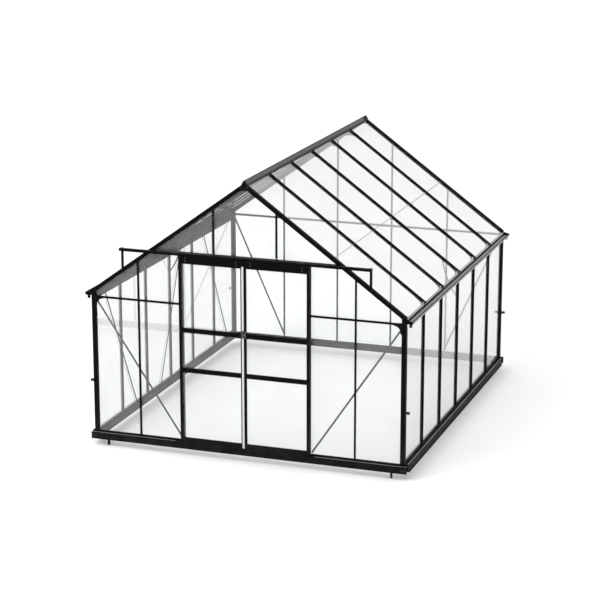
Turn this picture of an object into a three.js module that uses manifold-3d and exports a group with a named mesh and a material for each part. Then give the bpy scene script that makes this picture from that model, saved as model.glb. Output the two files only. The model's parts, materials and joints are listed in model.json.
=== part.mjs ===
// Walk-in gable greenhouse: six bays long, five bays wide, double sliding doors in the front gable.
// Millimetres, +Z up, +X to the right of a person facing the doors, +Y towards the rear gable.
// Sizes below count from the sill level (z = 0) and from the front gable line (y = 0). The outer
// group moves them so that the origin is at the middle of the footprint, under the ground pegs.

import * as THREE from 'three';
import * as BufferGeometryUtils from 'three/addons/utils/BufferGeometryUtils.js';
import Module from 'manifold-3d';

const wasm = await Module();
wasm.setup();

// ---------------------------------------------------------------- driving dimensions
const BAY = 620;                       // glazing bar pitch: 610 mm panes and a 10 mm bar gap
const BAYS_LONG = 6;
const LENGTH = BAYS_LONG * BAY;        // between the gable lines
const HALF_WIDTH = 1562;               // outer face of the side walls
const PITCH = THREE.MathUtils.degToRad(36);
const APEX = 2556;                     // where the two roof faces would meet
const PEG_DROP = 66;                   // length of the pegs below the base
const BASE_DEPTH = 68;                 // height of the base fascia
const GAP = 0.4;                       // clearance between separate pieces

// Bar section, counted inwards from the outer face: cap, glass slot, inner leg.
const CAP = 16;
const SLOT = 5;
const SEAT = CAP + SLOT;               // depth at which the inner leg starts
const DEPTH = 30;                      // full depth of a bar
const CAP_WIDTH = 14;
const WEB_WIDTH = 6;
const LEG_WIDTH = 12;
const GLASS = 4;
const GLASS_IN = CAP + (SLOT - GLASS) / 2;
const GLASS_BACK = GLASS_IN + GLASS;
const SILL_TOP = 14;                   // top of the sill's inner lip; glass below it runs under the bars

// Gables.
const FRONT_FACE = -4;                 // outer face of the front gable bars
const REAR_FACE = LENGTH + 4;
const RAFTER_DEPTH = 38;
const RAFTER_WIDTH = 36;
const RAFTER_WALL = 26;                // where its slot for the roof glass starts
const POST_ARM = 44;                   // length of a corner post's two arms
const POST_CORE = 26;                  // where its glass slots end
const POST_WALL = 30;                  // thickness of its arms
const EDGE_DEPTH = 26;                 // solid part of a rafter above the gable glass
const SHEET = 4;                       // wall of rolled and extruded channels
const TIE_ZS = [1370, 1392];           // flat tie across the rear gable at the eaves
const TIE_THICK = 6;
const BITE = 0.5;                      // how far joined layers run into each other

// Knee braces of the middle frame, and the ridge capping.
const KNEE_TOP_X = 1396;
const KNEE_FOOT_Z = 1165;
const KNEE_BEND = new THREE.Vector2(1428, 1320);
const KNEE_WIDE = 12;
const KNEE_THICK = 6;
const RIDGE_TOP = APEX + 20;
const RIDGE_CREST = 4;                 // half width of the capping's flat top
const RIDGE_WING = 24;                 // |x| of its lower edges
const RIDGE_PLATE = { x: 48, z: 2487 };  // lower corners of its end plates

// Eaves beam and gutter.
const EAVES_UNDER = 1322;
const GUTTER_FLOOR = 1364;
const GUTTER_LIP = 1388;
const GUTTER_REACH = 62;
const GUTTER_KEEPER = 12;              // height of the lip in front of the wall glass
const BEAM_IN = SEAT + 6;              // inner face of the beam, behind the wall glass
const ROOF_BAR_END = HALF_WIDTH - 46;  // lower end of the roof bar caps

// Base rail, counted from the wall face.
const BASE_OUT = 27;
const BASE_IN = 44;
const BASE_LIP = 8;                    // the side rails' foot flange, past the fascia
const PEG_X = 1430;
const PEG_SIZE = 14;

// Doors.
const DOORWAY = 622;                   // half width between the jambs
const JAMB = 20;
const LINTEL_TOP = 1858;
const LINTEL_HEIGHT = 24;
const SIDE_BAR_X = 1078;
const HEADER_BAR_X = 310;
const REAR_BAR_XS = [-936, -310, 310, 936];
const LEAF_WIDTH = 646;
const LEAF_FRONT = -44;
const LEAF_BACK = -20;
const LEAF_TOP = 1831;
const LEAF_BOTTOM = 4;
const STILE = 26;
const HEAD_RAIL = 72;
const MID_RAIL = 44;
const FOOT_RAIL = 50;
const MID_RAIL_ZS = [724, 1115];
const TRACK_HALF = 1238;
const TRACK_FRONT = -55;
const TRACK_BACK = -22;
const TRACK_BOTTOM = 1834;
const TRACK_TOP = 1859;
const TRACK_WALL = 3;
const TRACK_RETURN = 10;               // width of the lips the rollers run on
const BRACKET_LENGTH = 24;             // along the track
const BRACKET_FOOT = [1636, 1652];     // where a track bracket meets its bar
const GUIDE_HALF = 700;
const GUIDE_LIP_TOP = 12;
const GUIDE_FLOOR = [-10, -6];
const GUIDE_FOOT = -60;
const ROLLER_R = 9;
const ROLLER_WIDTH = 8;
const AXLE_R = 2.5;
const ROLLER_INSET = 70;               // from the leaf's side edges
const GIRT_Z = 1357;
const GIRT_HEIGHT = 20;
const GIRT_THICK = 8;
const LATCH_Z = 1127;
const LATCH_XS = [-20, 28];
const LATCH_HALF_HEIGHT = 33;
const LATCH_DEPTH = 12;
const LEVER_XS = [-3, 11];
const LEVER_ZS = [LATCH_Z - 12, LATCH_Z + 30];

// Roof vents on the left slope, in the second and the fifth bay.
const VENT_BAYS = [{ name: 'front', bay: 1 }, { name: 'rear', bay: 4 }];
const VENT_START = 29;                 // |x| of the hinge line, just outside the ridge capping
const VENT_LENGTH = 620;               // along the slope
const VENT_RAIL = 25;
const VENT_UNDER = 18;                 // below the roof face
const VENT_OVER = 2;                   // above the roof face
const VENT_REBATE = -3;                // level of the rebate under the vent's pane
const STAY_PIVOT = VENT_LENGTH - 34;   // along the slope from the hinge line
const STAY_LENGTH = 430;
const STAY_LEVELS = [-28, -24];        // underside and top of the stay arm
const STAY_HALF = 8;

const SLOPE = Math.tan(PITCH);
const FRONT_MOST = LEAF_FRONT - 24;    // front of the latch lever
const REAR_MOST = REAR_FACE + BASE_OUT;

// ---------------------------------------------------------------- materials
const coated = new THREE.MeshStandardMaterial({ color: 0x1b1c1d, roughness: 0.45, metalness: 0.3 });
const zinc = new THREE.MeshStandardMaterial({ color: 0x8f9294, roughness: 0.4, metalness: 0.8 });
const nylon = new THREE.MeshStandardMaterial({ color: 0xb9bab6, roughness: 0.6, metalness: 0 });
const plastic = new THREE.MeshStandardMaterial({ color: 0x141415, roughness: 0.5, metalness: 0 });
const glass = new THREE.MeshStandardMaterial({
  color: 0xdfe9e6, roughness: 0.05, metalness: 0, transparent: true, opacity: 0.3,
});

// ---------------------------------------------------------------- helpers
const house = new THREE.Group();
house.position.set(0, -(FRONT_MOST + REAR_MOST) / 2, BASE_DEPTH + PEG_DROP);

function add(name, geometry, material, parent = house) {
  const mesh = new THREE.Mesh(geometry, material);
  mesh.name = name;
  parent.add(mesh);
  return mesh;
}

function box([x0, x1], [y0, y1], [z0, z1]) {
  const geometry = new THREE.BoxGeometry(x1 - x0, y1 - y0, z1 - z0);
  geometry.translate((x0 + x1) / 2, (y0 + y1) / 2, (z0 + z1) / 2);
  return geometry;
}

function extrude(points, depth) {
  const shape = new THREE.Shape(points.map(([u, v]) => new THREE.Vector2(u, v)));
  return new THREE.ExtrudeGeometry(shape, { depth, bevelEnabled: false });
}

// An outline in X and Z, extruded from y0 to y1.
function slabXZ(points, y0, y1) {
  const geometry = extrude(points, y1 - y0);
  geometry.rotateX(Math.PI / 2);
  geometry.translate(0, y1, 0);
  return geometry;
}

// An outline in Y and Z, extruded from x0 to x1.
function slabYZ(points, x0, x1) {
  const geometry = extrude(points, x1 - x0);
  geometry.applyMatrix4(new THREE.Matrix4().set(0, 0, 1, x0, 1, 0, 0, 0, 0, 1, 0, 0, 0, 0, 0, 1));
  return geometry;
}

// An outline in X and Y, extruded from z0 to z1.
function slabXY(points, z0, z1) {
  const geometry = extrude(points, z1 - z0);
  geometry.translate(0, 0, z0);
  return geometry;
}

function cylinderY(radius, y0, y1, x, z, sides) {
  const geometry = new THREE.CylinderGeometry(radius, radius, y1 - y0, sides);
  geometry.translate(x, (y0 + y1) / 2, z);
  return geometry;
}

function solid(geometry) {
  const plain = geometry.clone();
  plain.deleteAttribute('normal');
  plain.deleteAttribute('uv');
  const merged = BufferGeometryUtils.mergeVertices(plain, 1e-3);
  return new wasm.Manifold(new wasm.Mesh({
    numProp: 3,
    vertProperties: new Float32Array(merged.attributes.position.array),
    triVerts: new Uint32Array(merged.index.array),
  }));
}

function fromSolid(manifold) {
  const mesh = manifold.getMesh();
  const geometry = new THREE.BufferGeometry();
  geometry.setAttribute('position', new THREE.BufferAttribute(mesh.vertProperties, 3));
  geometry.setIndex(new THREE.BufferAttribute(mesh.triVerts, 1));
  return geometry;
}

function join(geometries) {
  return fromSolid(geometries.map(solid).reduce((whole, piece) => whole.add(piece)));
}

function cut(geometry, tools) {
  return fromSolid(tools.map(solid).reduce((whole, tool) => whole.subtract(tool), solid(geometry)));
}

// Height of the plane that lies `deep` below the roof face, at |x|.
function roofZ(x, deep = 0) {
  return APEX - deep / Math.cos(PITCH) - SLOPE * Math.abs(x);
}

// |x| of that plane at a given height.
function roofX(z, deep = 0) {
  return (APEX - deep / Math.cos(PITCH) - z) / SLOPE;
}

function onSide(points, side) {
  return points.map(([x, z]) => [side * x, z]);
}

function roofStrip(x0, x1, deep0, deep1) {
  return [[x0, roofZ(x0, deep0)], [x1, roofZ(x1, deep0)], [x1, roofZ(x1, deep1)], [x0, roofZ(x0, deep1)]];
}

// Outline of a glass sheet: one strip along the bottom and a pane between each pair of bars.
// topPoints(a, b) gives the upper edge of the pane that reaches from a to b.
function comb(lo, hi, bars, bottom, stripTop, topPoints) {
  const half = WEB_WIDTH / 2 + GAP;
  const starts = [lo, ...bars.map((x) => x + half)];
  const ends = [...bars.map((x) => x - half), hi];
  const outline = [[lo, bottom]];
  starts.forEach((start, i) => {
    if (i > 0) outline.push([start, stripTop]);
    outline.push(...topPoints(start, ends[i], i));
    if (i < bars.length) outline.push([ends[i], stripTop]);
  });
  outline.push([hi, bottom]);
  return outline;
}

// ---------------------------------------------------------------- base
// Section of a base rail with its sill: `a` counts inwards from the wall face, z is height.
function baseSection(lip) {
  const edge = -BASE_OUT - BASE_LIP;
  const foot = lip ? [[edge, -BASE_DEPTH], [edge, -BASE_DEPTH + SHEET], [-BASE_OUT, -BASE_DEPTH + SHEET]]
    : [[-BASE_OUT, -BASE_DEPTH]];
  return [
    ...foot,
    [-BASE_OUT, -1], [CAP - SHEET, -1], [CAP - SHEET, 10], [CAP, 10], [CAP, 1], [SEAT, 1],
    [SEAT, SILL_TOP], [SEAT + SHEET, SILL_TOP], [SEAT + SHEET, -1], [BASE_IN, -1],
    [BASE_IN, -BASE_DEPTH + SHEET],
    [BASE_IN - SHEET, -BASE_DEPTH + SHEET], [BASE_IN - SHEET, -1 - SHEET],
    [-BASE_OUT + SHEET, -1 - SHEET], [-BASE_OUT + SHEET, -BASE_DEPTH + SHEET],
    [-10, -BASE_DEPTH + SHEET], [-10, -BASE_DEPTH],
  ];
}

function baseRail(name, side) {
  const ys = [FRONT_FACE + BASE_IN + GAP, REAR_FACE - BASE_IN - GAP];
  const section = baseSection(true).map(([a, z]) => [side * (HALF_WIDTH - a), z]);
  add(name, slabXZ(section, ...ys), coated);
}

function gableBase(name, face, inward) {
  const reach = HALF_WIDTH + BASE_OUT;
  const section = baseSection(false).map(([a, z]) => [face + inward * a, z]);
  const pegYs = [face + inward * 12, face + inward * (BASE_IN - 2)].sort((a, b) => a - b);
  const pegs = [-1, 1].map((side) => box(
    [side * PEG_X - PEG_SIZE / 2, side * PEG_X + PEG_SIZE / 2],
    pegYs,
    [-BASE_DEPTH - PEG_DROP, -SHEET],
  ));
  add(name, join([slabYZ(section, -reach, reach), ...pegs]), coated);
}

// ---------------------------------------------------------------- posts and gables
function cornerPost(name, side, face, inward) {
  const arm = [
    [POST_ARM, 0], [POST_ARM, CAP], [POST_CORE, CAP], [POST_CORE, SEAT], [POST_ARM, SEAT],
    [POST_ARM, POST_WALL],
  ];
  const otherArm = arm.map(([a, b]) => [b, a]).reverse();
  const section = [[0, 0], ...arm, [POST_WALL, POST_WALL], ...otherArm]
    .map(([a, b]) => [side * (HALF_WIDTH - a), face + inward * b]);
  add(name, slabXY(section, SILL_TOP + GAP, EAVES_UNDER - GAP), coated);
}

// The gable layers are counted from the outer face; this places one of them.
function layer(points, face, inward, b0, b1) {
  const ys = [face + inward * b0, face + inward * b1].sort((a, b) => a - b);
  return slabXZ(points, ...ys);
}

// A rafter is a stack of layers, with one slot for the roof glass and one for the gable glass.
// Its foot stands on the corner post and the eaves beam ends against it.
function rafter(name, side, face, inward) {
  const top = 6;
  const tip = HALF_WIDTH;
  const footZ = EAVES_UNDER;
  const footX = HALF_WIDTH - POST_ARM;
  const full = (deep0, footStart) => [
    [top, roofZ(top, deep0)], [tip, roofZ(tip, deep0)], [tip, footZ], [footStart, footZ],
    [footStart, roofZ(footStart, RAFTER_DEPTH)], [top, roofZ(top, RAFTER_DEPTH)],
  ];
  const glassFoot = HALF_WIDTH - POST_CORE + GAP;
  const slotted = [
    [top, roofZ(top)], [tip, roofZ(tip)], [tip, footZ], [glassFoot, footZ],
    [glassFoot, roofZ(glassFoot, EDGE_DEPTH)], [top, roofZ(top, EDGE_DEPTH)],
  ];
  const layers = [
    layer(onSide(full(0, footX), side), face, inward, 0, CAP),
    layer(onSide(slotted, side), face, inward, CAP - BITE, SEAT + BITE),
    layer(onSide(full(0, footX), side), face, inward, SEAT, RAFTER_WALL),
    layer(onSide(roofStrip(top, tip, 0, CAP), side), face, inward, RAFTER_WALL - 1, RAFTER_WIDTH),
    layer(onSide(full(SEAT, footX), side), face, inward, RAFTER_WALL - 1, RAFTER_WIDTH),
  ];
  add(name, join(layers), coated);
}

// A gable glazing bar: cap outside, web through the glass, leg inside, cut to the slope above.
// The web ends a little lower than the other two.
function gableBar(x, bottom, face, inward) {
  const outline = (width, z0, lower = 0) => {
    const [x0, x1] = [x - width / 2, x + width / 2];
    const peak = (at) => [at, roofZ(at, RAFTER_DEPTH) - GAP - lower];
    return [[x0, z0], peak(x0), peak(x1), [x1, z0]];
  };
  return join([
    layer(outline(CAP_WIDTH, bottom.cap), face, inward, 0, CAP),
    layer(outline(WEB_WIDTH, bottom.cap, 1), face, inward, CAP - BITE, SEAT + BITE),
    layer(outline(LEG_WIDTH, bottom.leg), face, inward, SEAT, DEPTH - SHEET),
  ]);
}

const onSill = { cap: SILL_TOP + GAP, leg: SILL_TOP + GAP };

function doorPost(name, side) {
  const outer = DOORWAY + JAMB;
  const section = [
    [DOORWAY, 0], [outer, 0], [outer, CAP], [outer - 8, CAP], [outer - 8, SEAT], [outer, SEAT],
    [outer, DEPTH], [DOORWAY, DEPTH],
  ].map(([x, b]) => [side * x, FRONT_FACE + b]);
  add(name, slabXY(section, SILL_TOP + GAP, LINTEL_TOP - LINTEL_HEIGHT - GAP), coated);
}

// The door lintel spans the rafters and carries the two bars of the upper gable.
function frontHeader() {
  const zs = [LINTEL_TOP - LINTEL_HEIGHT, LINTEL_TOP];
  const shelf = roofX(LINTEL_TOP, 0) - 8;
  const span = roofX(LINTEL_TOP, RAFTER_DEPTH + 1);
  const bars = [-HEADER_BAR_X, HEADER_BAR_X].map((x) => gableBar(
    x, { cap: LINTEL_TOP + SILL_TOP, leg: LINTEL_TOP - 1 }, FRONT_FACE, 1,
  ));
  add('front_header', join([
    box([-shelf, shelf], [TRACK_BACK + GAP, FRONT_FACE - GAP], zs),
    box([-span, span], [FRONT_FACE - 1, FRONT_FACE + DEPTH], zs),
    ...bars,
  ]), coated);
}

function girt(name, side) {
  const xs = [side * (DOORWAY + 2), side * (HALF_WIDTH - 6)].sort((a, b) => a - b);
  const ys = [FRONT_FACE - GIRT_THICK - GAP, FRONT_FACE - GAP];
  add(name, box(xs, ys, [GIRT_Z - GIRT_HEIGHT / 2, GIRT_Z + GIRT_HEIGHT / 2]), coated);
}

function rearTie() {
  const reach = HALF_WIDTH - POST_ARM - 1;
  const back = REAR_FACE - DEPTH + SHEET - GAP;
  add('rear_eaves_tie', box([-reach, reach], [back - TIE_THICK, back], TIE_ZS), coated);
}

// ---------------------------------------------------------------- portal frames, gutters, ridge
// One frame: two wall bars and two roof bars, bolted together at the eaves and under the ridge.
function portalFrame(name, y, kneeBraces) {
  const wallIn = HALF_WIDTH - DEPTH;
  const seatX = HALF_WIDTH - SEAT;
  const sillX = HALF_WIDTH - SEAT - SHEET - GAP;
  const beamX = HALF_WIDTH - BEAM_IN - GAP;
  const half = [
    [sillX, -1 + GAP], [sillX, SILL_TOP + GAP], [seatX, SILL_TOP + GAP],
    [seatX, EAVES_UNDER - GAP], [beamX, EAVES_UNDER - GAP], [beamX, roofZ(beamX, SEAT)],
  ];
  const inner = [[wallIn, roofZ(wallIn, DEPTH)], [wallIn, -1 + GAP]];
  const arch = [
    ...half, [0, roofZ(0, SEAT)], ...onSide(half, -1).reverse(),
    ...onSide(inner, -1).reverse(), [0, roofZ(0, DEPTH)], ...inner,
  ];
  const roofEnds = [VENT_START - 1, ROOF_BAR_END];
  const capTop = GUTTER_FLOOR - GUTTER_KEEPER - GAP;
  const pieces = [slabXZ(arch, y - LEG_WIDTH / 2, y + LEG_WIDTH / 2)];
  for (const side of [-1, 1]) {
    const webAndCap = [[WEB_WIDTH, SEAT + BITE, EAVES_UNDER - GAP], [CAP_WIDTH, CAP, capTop]];
    for (const [width, deep, top] of webAndCap) {
      const ys = [y - width / 2, y + width / 2];
      const xs = [side * (HALF_WIDTH - deep), side * HALF_WIDTH].sort((a, b) => a - b);
      pieces.push(box(xs, ys, [SILL_TOP + GAP, top]));
      pieces.push(slabXZ(onSide(roofStrip(...roofEnds, 0, deep), side), ...ys));
    }
    if (kneeBraces) pieces.push(kneeBrace(side, y));
  }
  add(name, join(pieces), coated);
}

// A curved stay across the eaves corner, inside the middle frame.
function kneeBrace(side, y) {
  const top = new THREE.Vector2(KNEE_TOP_X, roofZ(KNEE_TOP_X, DEPTH) + SHEET);
  const foot = new THREE.Vector2(HALF_WIDTH - DEPTH + SHEET, KNEE_FOOT_Z);
  const curve = new THREE.QuadraticBezierCurve(foot, KNEE_BEND, top);
  const points = curve.getPoints(6);
  const band = [
    ...points.map((p) => [p.x, p.y]),
    ...points.map((p) => [p.x - KNEE_WIDE, p.y - 2]).reverse(),
  ];
  return slabXZ(onSide(band, side), y - KNEE_THICK / 2, y + KNEE_THICK / 2);
}

// The gutter and the eaves beam are one section: the floor runs in over the wall glass to the
// beam behind it, and an upstand carries the lower edge of the roof glass.
function gutter(name, side) {
  const beamYs = [FRONT_FACE + RAFTER_WIDTH + GAP, REAR_FACE - RAFTER_WIDTH - GAP];
  const troughYs = [FRONT_FACE - SHEET, REAR_FACE + SHEET];
  const at = (points) => points.map(([a, z]) => [side * (HALF_WIDTH - a), z]);
  const underRoof = (a) => [a, roofZ(HALF_WIDTH - a, GLASS_BACK) - 1];
  const top = GUTTER_FLOOR + SHEET;
  const outer = [
    [-GUTTER_REACH, GUTTER_FLOOR], [-GUTTER_REACH, GUTTER_LIP], [-GUTTER_REACH + SHEET, GUTTER_LIP],
    [-GUTTER_REACH + SHEET, top],
  ];
  const beam = [
    ...outer, [CAP - 6, top], underRoof(CAP - 6), underRoof(CAP - 2), [CAP - 2, top],
    [BEAM_IN, top], [BEAM_IN, EAVES_UNDER], [SEAT, EAVES_UNDER], [SEAT, GUTTER_FLOOR],
    [CAP, GUTTER_FLOOR], [CAP, GUTTER_FLOOR - GUTTER_KEEPER],
    [CAP - SHEET, GUTTER_FLOOR - GUTTER_KEEPER], [CAP - SHEET, GUTTER_FLOOR],
  ];
  const trough = [...outer, [-GAP, top], [-GAP, GUTTER_FLOOR]];
  const endPlate = [
    [-GUTTER_REACH, GUTTER_FLOOR], [-GUTTER_REACH, GUTTER_LIP], [-GAP, GUTTER_LIP + 14],
    [-GAP, GUTTER_FLOOR],
  ];
  const outletX = side * (HALF_WIDTH + GUTTER_REACH / 2 + 4);
  const outlets = [troughYs[0] + 24, troughYs[1] - 24].map((y) => {
    const pipe = new THREE.CylinderGeometry(14, 12, 34, 12);
    pipe.rotateX(Math.PI / 2);
    pipe.translate(outletX, y, GUTTER_FLOOR + 1 - 17);
    return pipe;
  });
  add(name, join([
    slabXZ(at(beam), ...beamYs),
    slabXZ(at(trough), ...troughYs),
    slabXZ(at(endPlate), troughYs[0], troughYs[0] + SHEET),
    slabXZ(at(endPlate), troughYs[1] - SHEET, troughYs[1]),
    ...outlets,
  ]), coated);
}

function ridge() {
  const keel = roofZ(0, SEAT) + 1;
  const edge = (x) => [x, roofZ(x) + GAP];
  const crest = [RIDGE_CREST, RIDGE_TOP];
  const wing = [
    crest, edge(RIDGE_WING), edge(RIDGE_WING - 5), [RIDGE_CREST + 1, RIDGE_TOP - 7],
    [RIDGE_CREST + 1, keel],
  ];
  const capping = [...wing, ...onSide(wing, -1).reverse()];
  const half = [crest, edge(RIDGE_WING), [RIDGE_PLATE.x, RIDGE_PLATE.z]];
  const plate = [...half, ...onSide(half, -1).reverse()];
  add('ridge_capping', join([
    slabXZ(capping, FRONT_FACE - 1, REAR_FACE + 1),
    slabXZ(plate, FRONT_FACE - SHEET, FRONT_FACE - GAP),
    slabXZ(plate, REAR_FACE + GAP, REAR_FACE + SHEET),
  ]), coated);
}

// ---------------------------------------------------------------- glass
const barYs = Array.from({ length: BAYS_LONG - 1 }, (_, i) => (i + 1) * BAY);

function wallGlass(name, side) {
  const ends = [FRONT_FACE + RAFTER_WIDTH + GAP, REAR_FACE - RAFTER_WIDTH - GAP];
  const flat = (a, b) => [[a, GUTTER_FLOOR - 2], [b, GUTTER_FLOOR - 2]];
  const outline = comb(...ends, barYs, 2, SILL_TOP, flat);
  const xs = [side * (HALF_WIDTH - GLASS_IN), side * (HALF_WIDTH - GLASS_BACK)];
  add(name, slabYZ(outline, Math.min(...xs), Math.max(...xs)), glass);
}

function gableTop(a, b) {
  const edge = (x) => [x, roofZ(x, EDGE_DEPTH + 1)];
  return a < 0 && b > 0 ? [edge(a), edge(0), edge(b)] : [edge(a), edge(b)];
}

function gableGlass(name, outline, face, inward) {
  add(name, layer(outline, face, inward, GLASS_IN, GLASS_BACK), glass);
}

function frontSideGlass(name, side) {
  const wall = HALF_WIDTH - POST_CORE - 1;
  const jamb = DOORWAY + JAMB - 7;
  const under = LINTEL_TOP - LINTEL_HEIGHT - 2;
  const top = (a, b) => {
    const points = [a, b].map((x) => [x, Math.min(under, roofZ(x, EDGE_DEPTH + 1))]);
    const corner = roofX(under, EDGE_DEPTH + 1);
    return a < corner && b > corner ? [points[0], [corner, under], points[1]] : points;
  };
  const outline = comb(jamb, wall, [SIDE_BAR_X], 2, SILL_TOP, top);
  gableGlass(name, onSide(outline, side), FRONT_FACE, 1);
}

function frontTopGlass() {
  const bottom = LINTEL_TOP + 1;
  const reach = roofX(bottom, EDGE_DEPTH + 1);
  const outline = comb(-reach, reach, [-HEADER_BAR_X, HEADER_BAR_X], bottom, bottom + 8, gableTop);
  gableGlass('front_top_glass', outline.slice(1, -1), FRONT_FACE, 1);
}

function rearGlass() {
  const reach = HALF_WIDTH - POST_CORE - 1;
  const outline = comb(-reach, reach, REAR_BAR_XS, 2, SILL_TOP, gableTop);
  gableGlass('rear_gable_glass', outline, REAR_FACE, -1);
}

// A group in which x runs down the slope, z points out of the roof and y stays level.
function slopeGroup(side, x, z) {
  const down = new THREE.Vector3(side * Math.cos(PITCH), 0, -Math.sin(PITCH));
  const out = new THREE.Vector3(side * Math.sin(PITCH), 0, Math.cos(PITCH));
  const level = new THREE.Vector3().crossVectors(out, down);
  const group = new THREE.Group();
  group.position.set(side * x, 0, z);
  group.quaternion.setFromRotationMatrix(new THREE.Matrix4().makeBasis(down, level, out));
  house.add(group);
  return group;
}

function roofGlass(name, side, vented) {
  const group = slopeGroup(side, 0, APEX);
  // Distance down the slope of the point at |x| on the plane `deep` below the roof face.
  const run = (x, deep) => (x + deep * Math.sin(PITCH)) / Math.cos(PITCH);
  const ends = [FRONT_FACE + RAFTER_WALL + 1, REAR_FACE - RAFTER_WALL - 1];
  const eaves = run(HALF_WIDTH + 2, GLASS_BACK);
  const strip = run(ROOF_BAR_END + 1, GLASS_BACK);
  const lid = run(VENT_START, 0) + VENT_LENGTH + 6;
  const top = (a, b, i) => {
    const start = vented.includes(i) ? lid : run(14, GLASS_BACK);
    return [[a, start], [b, start]];
  };
  const outline = comb(...ends, barYs, eaves, strip, top).map(([y, x]) => [x, side * y]);
  const sheet = slabXY(outline, -GLASS_BACK, -GLASS_IN);
  add(name, sheet, glass, group);
}

// ---------------------------------------------------------------- roof vents
function vent({ name, bay }) {
  const group = slopeGroup(-1, VENT_START, roofZ(VENT_START));
  const centre = -(bay + 0.5) * BAY;
  const half = BAY / 2 - CAP_WIDTH / 2 - 1.5;
  const across = (inset) => [centre - half + inset, centre + half - inset];
  const along = (inset) => [inset, VENT_LENGTH - inset];
  const frame = cut(box(along(0), across(0), [-VENT_UNDER, VENT_OVER]), [
    box(along(VENT_RAIL), across(VENT_RAIL), [-VENT_UNDER - 1, VENT_OVER + 1]),
    box(along(VENT_RAIL - 8), across(VENT_RAIL - 8), [VENT_REBATE, VENT_OVER + 1]),
  ]);
  add(`vent_${name}_frame`, frame, coated, group);
  const paneZs = [VENT_REBATE + GAP, VENT_REBATE + GAP + GLASS];
  const pane = box(along(VENT_RAIL - 7), across(VENT_RAIL - 7), paneZs);
  add(`vent_${name}_glass`, pane, glass, group);

  const slamHalf = BAY / 2 - LEG_WIDTH / 2 - GAP;
  const slam = box(
    [VENT_LENGTH - 18, VENT_LENGTH + 20],
    [centre - slamHalf, centre + slamHalf],
    [-DEPTH, -SEAT],
  );
  add(`vent_${name}_slam_bar`, slam, coated, group);

  const ys = [centre - STAY_HALF, centre + STAY_HALF];
  const lugXs = [STAY_PIVOT - STAY_HALF, STAY_PIVOT + STAY_HALF];
  const arm = box([STAY_PIVOT - STAY_LENGTH, lugXs[1]], ys, STAY_LEVELS);
  const lug = box(lugXs, ys, [STAY_LEVELS[1] - 1, -VENT_UNDER - GAP]);
  add(`vent_${name}_stay`, join([arm, lug]), coated, group);
}

// ---------------------------------------------------------------- sliding doors
function doorTrack() {
  const y0 = TRACK_FRONT;
  const y1 = TRACK_BACK;
  const floor = TRACK_BOTTOM + TRACK_WALL;
  const section = [
    [y0, TRACK_BOTTOM], [y0, TRACK_TOP], [y1, TRACK_TOP], [y1, TRACK_BOTTOM],
    [y1 - TRACK_RETURN, TRACK_BOTTOM], [y1 - TRACK_RETURN, floor],
    [y1 - TRACK_WALL, floor], [y1 - TRACK_WALL, TRACK_TOP - TRACK_WALL],
    [y0 + TRACK_WALL, TRACK_TOP - TRACK_WALL], [y0 + TRACK_WALL, floor],
    [y0 + TRACK_RETURN, floor], [y0 + TRACK_RETURN, TRACK_BOTTOM],
  ];
  const brackets = [-1, 1].flatMap((side) => {
    const xs = [side * (TRACK_HALF - BRACKET_LENGTH), side * TRACK_HALF].sort((a, b) => a - b);
    return [
      box(xs, [y1 - 1, y1 + 14], [TRACK_TOP - 18, TRACK_TOP]),
      box(xs, [y1 + 6, y1 + 14], [BRACKET_FOOT[0], TRACK_TOP]),
      box(xs, [y1 + 6, FRONT_FACE - GAP], BRACKET_FOOT),
    ];
  });
  add('door_track', join([slabYZ(section, -TRACK_HALF, TRACK_HALF), ...brackets]), coated);
}

function doorGuide() {
  const fascia = FRONT_FACE - BASE_OUT - GAP;
  const lip = LEAF_FRONT - 6;
  const [under, floor] = GUIDE_FLOOR;
  const section = [
    [lip, under], [lip, GUIDE_LIP_TOP], [lip + SHEET, GUIDE_LIP_TOP], [lip + SHEET, floor],
    [fascia, floor], [fascia, GUIDE_FOOT], [fascia - SHEET, GUIDE_FOOT], [fascia - SHEET, under],
  ];
  add('door_guide', slabYZ(section, -GUIDE_HALF, GUIDE_HALF), coated);
}

const rollerZ = TRACK_BOTTOM + TRACK_WALL + ROLLER_R + 0.2;
const wheelYs = [TRACK_FRONT + 3.4, TRACK_FRONT + 3.4 + ROLLER_WIDTH];
const hangerYs = [TRACK_FRONT + 13.5, TRACK_FRONT + 16.5];

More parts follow.
